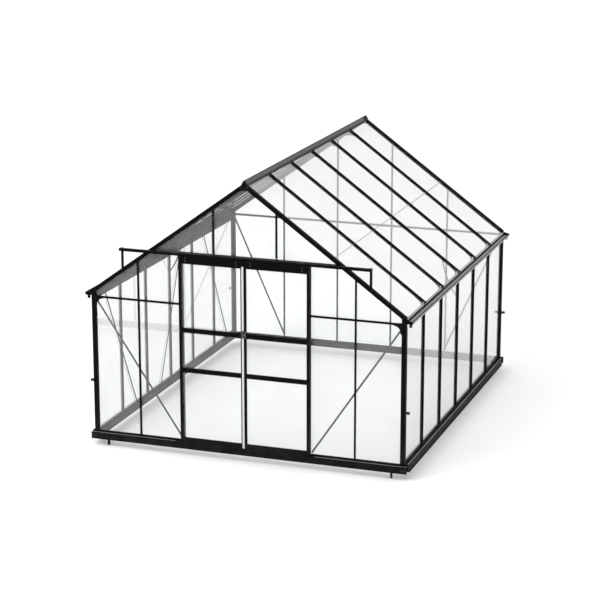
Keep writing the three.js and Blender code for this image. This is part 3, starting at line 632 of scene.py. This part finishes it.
def eaves_gusset():
    """Outline of the plate where a wall bar meets a roof bar."""
    foot, outer, inner = 1240, 1540, 1533
    return [
        (outer, foot), (outer, 1312), (inner, 1330), below_roof(inner, 22), below_roof(1420, 22),
        below_roof(1414, 25), below_roof(1420, 29), below_roof(1506, 44), (inner, 1322), (inner, foot),
    ]


def ridge_gusset():
    """Outline of the plate that joins two roof bars."""
    half = [below_roof(92, 22), below_roof(96, 25), below_roof(90, 29), (44, roof_z(0, BAR_DEPTH) - 54)]
    return mirrored(half) + [below_roof(0, 22)]


def frame_gussets():
    """Bolted plates on each portal frame, at the eaves and under the ridge."""
    plates = bmesh.new()
    bolts = bmesh.new()
    leg_bolts = ((GUSSET_BOLT_X, 1256), (GUSSET_BOLT_X, 1300))
    eaves_bolts = (*leg_bolts, below_roof(1500, 26), below_roof(1440, 26))
    for y in WALL_BARS:
        back = y + LEG_WIDTH / 2 + 0.2
        face = back + GUSSET_THICK
        for side in SIDES:
            plate_xz(plates, eaves_gusset(), side, back, face)
            for x, z in eaves_bolts:
                bolt(bolts, at(side * x, face, z), Y_AXIS, *GUSSET_BOLT)
        plate_xz(plates, ridge_gusset(), 1, back, face)
        for x in RIDGE_GUSSET_BOLT_XS:
            bolt(bolts, at(x, face, roof_z(x, 26)), Y_AXIS, *RIDGE_BOLT)
    piece("frame_gusset_plates", plates, COAT, "house", 0.6)
    piece("frame_gusset_bolts", bolts, FASTENER, "house")


def gutter_edges():
    """Rolled gutter lips, and pale strips on the gutters' floors and outer faces: painted highlight of
    those lit faces.
    """
    lips = bmesh.new()
    sheen_strips = bmesh.new()
    for side in SIDES:
        lip = side * (HALF_WIDTH + GUTTER_REACH - 2)
        round_bar(lips, at(lip, FRONT_FACE - 4, GUTTER_LIP), at(lip, REAR_FACE + 4, GUTTER_LIP), 5)
        inner, outer = side * (HALF_WIDTH + 1), side * (HALF_WIDTH + GUTTER_REACH - 5)
        # pale strips on the gutter floor and outer face: painted highlight
        block(sheen_strips, (inner, FRONT_FACE + 2, GUTTER_FLOOR + 4), (outer, REAR_FACE - 2, GUTTER_FLOOR + 5.5))
        face = side * (HALF_WIDTH + GUTTER_REACH)
        block(sheen_strips, (face, FRONT_FACE - 2, GUTTER_FLOOR + 3),
              (face + side * 1.5, REAR_FACE + 2, GUTTER_LIP - 5))
    piece("gutter_lips", lips, COAT, "house")
    piece("gutter_painted_sheen", sheen_strips, PAINTED_SHEEN_TRIM, "house", 0.4)


def outlet_collars():
    """Two rubber collars on each gutter outlet."""
    collars = bmesh.new()
    lower = [(12.4, 0), (15.5, 0), (16.5, 3), (15.5, 6), (12.4, 6)]
    upper = [(13.6, 0), (17, 0), (17, 5), (13.6, 5)]
    for side in SIDES:
        for y in (FRONT_FACE + 20, REAR_FACE - 20):
            outlet = at(side * (HALF_WIDTH + GUTTER_REACH / 2 + 4), y, GUTTER_FLOOR - 33)
            turned(collars, outlet, Z_AXIS, lower)
            turned(collars, outlet + Z_AXIS * 0.026, Z_AXIS, upper)
    piece("outlet_collars", collars, RUBBER, "house", 0.5)


def downpipe_clips():
    """A clip on each corner post: a foot plate, a neck and a ring."""
    clips = bmesh.new()
    ring = [(13, 0), (17, 0), (17, 20), (13, 20)]
    for side in SIDES:
        face = side * HALF_WIDTH
        for y in (FRONT_FACE + 18, REAR_FACE - 18):
            block(clips, (face, y - 14, CLIP_Z), (face + side * 4, y + 14, CLIP_Z + 40))
            block(clips, (face + side * 3, y - 3, CLIP_Z + 10), (face + side * 10, y + 3, CLIP_Z + 32))
            turned(clips, at(face + side * 23, y, CLIP_Z + 11), Z_AXIS, ring)
    piece("downpipe_clips", clips, MOULDED, "house", 0.5)


def ridge_lines():
    """A rolled crown on the ridge capping, and dark strips in the rubber material along both of its lower
    edges and under them: painted shade below the capping.
    """
    crown = bmesh.new()
    edges = bmesh.new()
    front, rear = FRONT_FACE - RIDGE_END, REAR_FACE + RIDGE_END
    round_bar(crown, at(0, front, RIDGE_TOP - 1), at(0, rear, RIDGE_TOP - 1), 5)
    # dark strips where the capping's lower edges meet the roof: painted shade of the gap below them
    edge = RIDGE_WING - 1.5
    seal = ((-5.7, -16.3), (5.7, -16.3), (5.7, -0.2), (-5.7, -0.2))
    for side in SIDES:
        round_bar(edges, *[at(side * edge, y, roof_z(edge) + 2) for y in (0, LENGTH)], 4)
        ends = [on_slope(side, ROOF_START - 4.7, y) for y in (32, LENGTH - 32)]
        sweep(edges, *ends, seal, slope_normal(side))
    piece("ridge_crown", crown, COAT, "house")
    piece("ridge_painted_shade", edges, RUBBER, "house")


def ridge_covers():
    """End covers: a plate on each end of the ridge, and a skin that wraps back over the capping."""
    covers = bmesh.new()
    low = roof_z(RIDGE_WING)
    plate = mirrored([(RIDGE_CREST, RIDGE_TOP), (RIDGE_WING, low), RIDGE_PLATE])
    inner, outer = (RIDGE_CREST + 0.2, RIDGE_TOP + 0.3), (RIDGE_CREST + 1, RIDGE_TOP + 2.4)
    wing = [(RIDGE_WING + 0.6, low + 0.8), inner, outer, (RIDGE_WING + 3, low + 0.8)]
    crest = [(-inner[0], inner[1]), inner, outer, (-outer[0], outer[1])]
    front, rear = FRONT_FACE - RIDGE_END - COVER_THICK, REAR_FACE + RIDGE_END
    for y in (front, rear):
        plate_xz(covers, plate, 1, y, y + COVER_THICK)
    for ends in ((front, FRONT_FACE + FRONT_WRAP), (REAR_FACE - REAR_WRAP, rear + COVER_THICK)):
        for side in SIDES:
            plate_xz(covers, wing, side, *ends)
        plate_xz(covers, crest, 1, *ends)
    piece("ridge_end_covers", covers, COAT, "house", 0.5)


def ridge_screws():
    """Bolts on the ridge's end covers, and a screw through each wing in every bay."""
    screws = bmesh.new()
    stand = RIDGE_END + COVER_THICK
    for y, outward in ((FRONT_FACE - stand, -Y_AXIS), (REAR_FACE + stand, Y_AXIS)):
        for x, z in RIDGE_BOLTS:
            bolt(screws, at(x, y, z), outward, *RIDGE_BOLT)
    for i in range(BAYS_LONG):
        for side in SIDES:
            outward = Vector((side * 0.88, 0, 0.47))
            dome(screws, at(side * 14, (i + 0.5) * BAY, APEX + 2), outward, *RIDGE_SCREW)
    piece("ridge_screws", screws, FASTENER, "house")


def base_trims():
    """Beads along the base fascias, open at the door guide, and a pale strip on top of them: painted
    highlight of the lit top face.
    """
    beads = bmesh.new()
    sheen_ledges = bmesh.new()
    (front, _), (rear, _) = BASE_LINES
    bead, inset, ledge = 2.6, 8, 15
    under = LEDGE_TOP - LEDGE_DEPTH
    for y, outward in BASE_LINES:
        near, far = sorted((y - outward.y * ledge, y - outward.y * inset))
        # pale strips on the base's top: painted highlight
        block(sheen_ledges, (-BASE_EDGE + inset, near, under), (BASE_EDGE - inset, far, LEDGE_TOP))
    for side in SIDES:
        block(sheen_ledges, (side * (BASE_EDGE - ledge), 0, under),
              (side * (BASE_EDGE - inset), LENGTH, LEDGE_TOP))
    for z in BEAD_ZS:
        for y, x0, x1 in ((front, -BASE_EDGE, -GUIDE_HALF), (front, GUIDE_HALF, BASE_EDGE),
                          (rear, -BASE_EDGE, BASE_EDGE)):
            round_bar(beads, at(x0, y, z), at(x1, y, z), bead)
        for side in SIDES:
            round_bar(beads, at(side * BASE_EDGE, front, z), at(side * BASE_EDGE, rear, z), bead)
    piece("base_beads", beads, COAT, "house")
    piece("base_ledge_painted_sheen", sheen_ledges, PAINTED_SHEEN_TRIM, "house", 0.4)


def base_brackets():
    """Corner brackets on the gable fascias with their bolts, and a bolt in every bay of the sides."""
    plates = bmesh.new()
    bolts = bmesh.new()
    far, near, half = 62, 4, 13
    for side in SIDES:
        corner = side * BASE_EDGE
        for y, outward in BASE_LINES:
            back, face = y + outward.y * 0.3, y + outward.y * 2.7
            block(plates, (corner - side * far, back, BASE_BOLT_Z - half),
                  (corner - side * near, face, BASE_BOLT_Z + half))
            for step in (16, 50):
                bolt(bolts, at(corner - side * step, face, BASE_BOLT_Z), outward, *BASE_BOLT)
        for i in range(BAYS_LONG):
            bolt(bolts, at(corner, (i + 0.5) * BAY, BASE_BOLT_Z), X_AXIS * side, *BASE_BOLT)
    piece("base_corner_brackets", plates, COAT, "house", 0.6)
    piece("base_bolts", bolts, FASTENER, "house")


def bar_screws():
    """Screws along the wall, gable and rear bars, on the girts and on the corner posts."""
    bm = bmesh.new()
    post = HALF_WIDTH - 24
    for side in SIDES:
        for y in WALL_BARS:
            for z in (FOOT_SCREW, MID_SCREW, EAVES_SCREW):
                dome(bm, at(side * HALF_WIDTH, y, z), X_AXIS * side, *BAR_SCREW)
        for z in (FOOT_SCREW, MID_SCREW, EAVES_SCREW, GABLE_SCREW):
            dome(bm, at(side * SIDE_BAR, FRONT_FACE, z), -Y_AXIS, *BAR_SCREW)
        for x in GIRT_SCREW_XS:
            dome(bm, at(side * x, GIRT_FACE, GIRT_Z), -Y_AXIS, *POST_SCREW)
        for z in POST_SCREW_ZS:
            dome(bm, at(side * post, FRONT_FACE, z), -Y_AXIS, *POST_SCREW)
            dome(bm, at(side * post, REAR_FACE, z), Y_AXIS, *POST_SCREW)
    for x in REAR_BARS:
        for z in (FOOT_SCREW, MID_SCREW, TIE_SCREW):
            dome(bm, at(x, REAR_FACE, z), Y_AXIS, *BAR_SCREW)
    piece("bar_screws", bm, FASTENER, "house")


def track_fittings():
    """End stops on the door track, the bolts of its two outer brackets and screws in its top."""
    stops = bmesh.new()
    bolts = bmesh.new()
    (front, back), (under, top) = TRACK_YS, TRACK_ZS
    for side in SIDES:
        end = side * TRACK_HALF
        block(stops, (end, front - 1, under - 1), (end + side * 5, back + 1, top + 1))
        for z in BRACKET_BOLT_ZS:
            bolt(bolts, at(side * (TRACK_HALF - 6), BRACKET_FACE, z), -Y_AXIS, *BRACKET_BOLT)
        for x in TRACK_SCREW_XS:
            dome(bolts, at(side * x, (front + back) / 2, top), Z_AXIS, *TRACK_SCREW)
    piece("track_end_stops", stops, RUBBER, "house", 1.2)
    piece("track_bolts", bolts, FASTENER, "house")


def leaf_screws(name, side, near, far):
    """Hanger bolts in the head rail, and pairs of screws where the rails meet the stiles."""
    metal = bmesh.new()
    for x in (near + side * 70, far - side * 70):
        for z in (LEAF_TOP - 16, LEAF_TOP - 44):
            bolt(metal, at(x, LEAF_FRONT, z), -Y_AXIS, *HANGER_BOLT)
    for x in (near + side * 22, far - side * 13):
        for z in LEAF_SCREW_ZS:
            dome(metal, at(x, LEAF_FRONT, z), -Y_AXIS, *LEAF_SCREW)
    piece(f"{name}_door_screws", metal, FASTENER, f"{name}_door")


def leaf_brushes(name, side, near, far):
    """Brush seals behind both stiles and under the foot rail."""
    brush = bmesh.new()
    for x0, x1 in ((far - side * 8, far - side * 2), (near + side * 2, near + side * 6)):
        block(brush, (x0, LEAF_BACK, LEAF_BOTTOM + 6), (x1, LEAF_BACK + 3, LEAF_TOP - 6))
    block(brush, (near + side * 8, LEAF_FRONT + 8, LEAF_BOTTOM - 4),
          (far - side * 8, LEAF_FRONT + 12, LEAF_BOTTOM))
    piece(f"{name}_door_brushes", brush, RUBBER, f"{name}_door")


def door_fittings():
    for name, side in (("left", -1), ("right", 1)):
        near, far = side, side * (1 + LEAF_WIDTH)
        leaf_screws(name, side, near, far)
        leaf_brushes(name, side, near, far)


def latch_fittings():
    """The latch: a rounded case with a raised boss, and a lever that turns on it."""
    case = bmesh.new()
    back = LEAF_FRONT - 0.4
    face = back - LATCH_DEEP
    wide, high = LATCH_HALF
    block(case, (LATCH_X - wide, face, LATCH_Z - high), (LATCH_X + wide, back, LATCH_Z + high))
    piece("latch_body", case, MOULDED, "right_door", 3.2, ["latch_case"])
    boss = bmesh.new()
    ring = [(3, -1), (11, -1), (11, 1.4), (9.5, 2.4), (3, 2.4)]
    turned(boss, at(LATCH_X, face, LATCH_Z), -Y_AXIS, ring, 24)
    for x in (LATCH_X - wide + 7, LATCH_X + wide - 7):
        for z in (LATCH_Z - high + 7, LATCH_Z + high - 7):
            dome(boss, at(x, face, z), -Y_AXIS, *LATCH_SCREW)
    piece("latch_boss", boss, ZINC, "right_door")
    lever = bmesh.new()
    outline = ((-6.5, -5), (6.5, -5), (5.5, 5), (-5.5, 5))
    ends = [at(LATCH_X, LEAF_FRONT - 18, z) for z in (LATCH_Z - 11, LATCH_Z + 29)]
    sweep(lever, *ends, outline, -Y_AXIS)
    piece("latch_turn_lever", lever, MOULDED, "latch_lever", 1.6, ["latch_lever"])


def vent_lid_fittings(name, first, middle):
    """Corner screws and a lower seal on a vent's lid, and the knob on its stay."""
    outward = slope_normal(-1).normalized()
    trim = bmesh.new()
    for s in SIDES:
        for down in (14, VENT_LID - 12):
            spot = on_slope(-1, first + down, middle + s * (VENT_HALF - 11), 2)
            dome(trim, spot, outward, *VENT_SCREW)
    piece(f"{name}_vent_screws", trim, FASTENER, f"{name}_vent")
    seal = bmesh.new()
    outline = [(u, v - VENT_UNDER) for u, v in ((-3, -2), (3, -2), (3, 0), (-3, 0))]
    ends = [on_slope(-1, first + VENT_LID - 8, middle + s * (VENT_HALF - 16)) for s in SIDES]
    sweep(seal, *ends, outline, slope_normal(-1))
    piece(f"{name}_vent_seal", seal, RUBBER, f"{name}_vent")
    knob = bmesh.new()
    dome(knob, on_slope(-1, first + VENT_LID - 449, middle, -28), -outward, *STAY_KNOB)
    piece(f"{name}_stay_knob", knob, MOULDED, f"{name}_vent_stay")


def vent_fittings():
    """The lids' fittings, and on the house their hinge bars and the pegs of the slam bars."""
    outward = slope_normal(-1).normalized()
    first = VENT_START / math.cos(PITCH)
    hinge = bmesh.new()
    pegs = bmesh.new()
    for name, bay in VENTS.items():
        middle = (bay + 0.5) * BAY
        round_bar(hinge, *[on_slope(-1, first - 1, middle + s * VENT_HALF, 1) for s in SIDES], 3.2)
        for s in SIDES:
            dome(pegs, on_slope(-1, first + VENT_LID - 12, middle + s * 60, -21), outward, *VENT_PEG)
        vent_lid_fittings(name, first, middle)
    piece("vent_hinge_bars", hinge, FASTENER, "house")
    piece("vent_pegs", pegs, MOULDED, "house")


def hardware():
    straps()
    meeting_strip()
    eaves_corners()
    roof_bar_ends()
    frame_gussets()
    gutter_edges()
    outlet_collars()
    downpipe_clips()
    ridge_lines()
    ridge_covers()
    ridge_screws()
    base_trims()
    base_brackets()
    bar_screws()
    track_fittings()
    door_fittings()
    latch_fittings()
    vent_fittings()


# ---------------------------------------------------------------- stage


def stage():
    """A pale, plain floor, wide enough to fill the picture."""
    bm = bmesh.new()
    signs = ((-1, -1), (1, -1), (1, 1), (-1, 1))
    corners = [Vector((x * FLOOR_HALF, y * FLOOR_HALF, 0)) for x, y in signs]
    bm.faces.new([bm.verts.new(c) for c in corners])
    mesh = bpy.data.meshes.new("floor")
    bm.to_mesh(mesh)
    bm.free()
    floor = bpy.data.objects.new("floor", mesh)
    bpy.context.scene.collection.objects.link(floor)
    mat, _, shader = material("floor_paint")
    shader.inputs["Base Color"].default_value = (0.93, 0.93, 0.93, 1)
    shader.inputs["Roughness"].default_value = 0.9
    shader.inputs["Specular IOR Level"].default_value = 0.1
    mesh.materials.append(mat)


def lights():
    """A white sky, and one large soft lamp above the front left."""
    world = bpy.data.worlds.new("studio")
    bpy.context.scene.world = world
    world.use_nodes = True
    background = world.node_tree.nodes["Background"]
    background.inputs["Color"].default_value = (1, 1, 1, 1)
    background.inputs["Strength"].default_value = SKY_STRENGTH
    lamp = bpy.data.lights.new("key", "AREA")
    lamp.shape = "DISK"
    lamp.size = LAMP_SIZE
    lamp.energy = LAMP_ENERGY
    key = bpy.data.objects.new("key", lamp)
    key.location = LAMP_PLACE
    key.rotation_euler = (Vector(LAMP_TARGET) - key.location).to_track_quat("-Z", "Y").to_euler()
    bpy.context.scene.collection.objects.link(key)


def camera():
    """The camera at its fitted place, looking along its azimuth and elevation."""
    data = bpy.data.cameras.new("camera")
    data.sensor_width = 36
    data.lens = LENS
    data.clip_end = 300
    obj = bpy.data.objects.new("camera", data)
    a, e = CAMERA_AZIMUTH, CAMERA_ELEVATION
    back = Vector((math.sin(a) * math.cos(e), -math.cos(a) * math.cos(e), math.sin(e)))
    right = Vector((math.cos(a), math.sin(a), 0))
    turn = Matrix((right, back.cross(right), back)).transposed().to_4x4()
    obj.matrix_world = Matrix.Translation(CAMERA_PLACE) @ turn
    bpy.context.scene.collection.objects.link(obj)
    bpy.context.scene.camera = obj
    bpy.context.scene.view_settings.view_transform = "Standard"
    bpy.context.scene.cycles.transparent_max_bounces = 64


# ---------------------------------------------------------------- assembly
camera()
lights()
stage()
finish_nodes()
all_glass()
hardware()

bpy.context.view_layer.update()
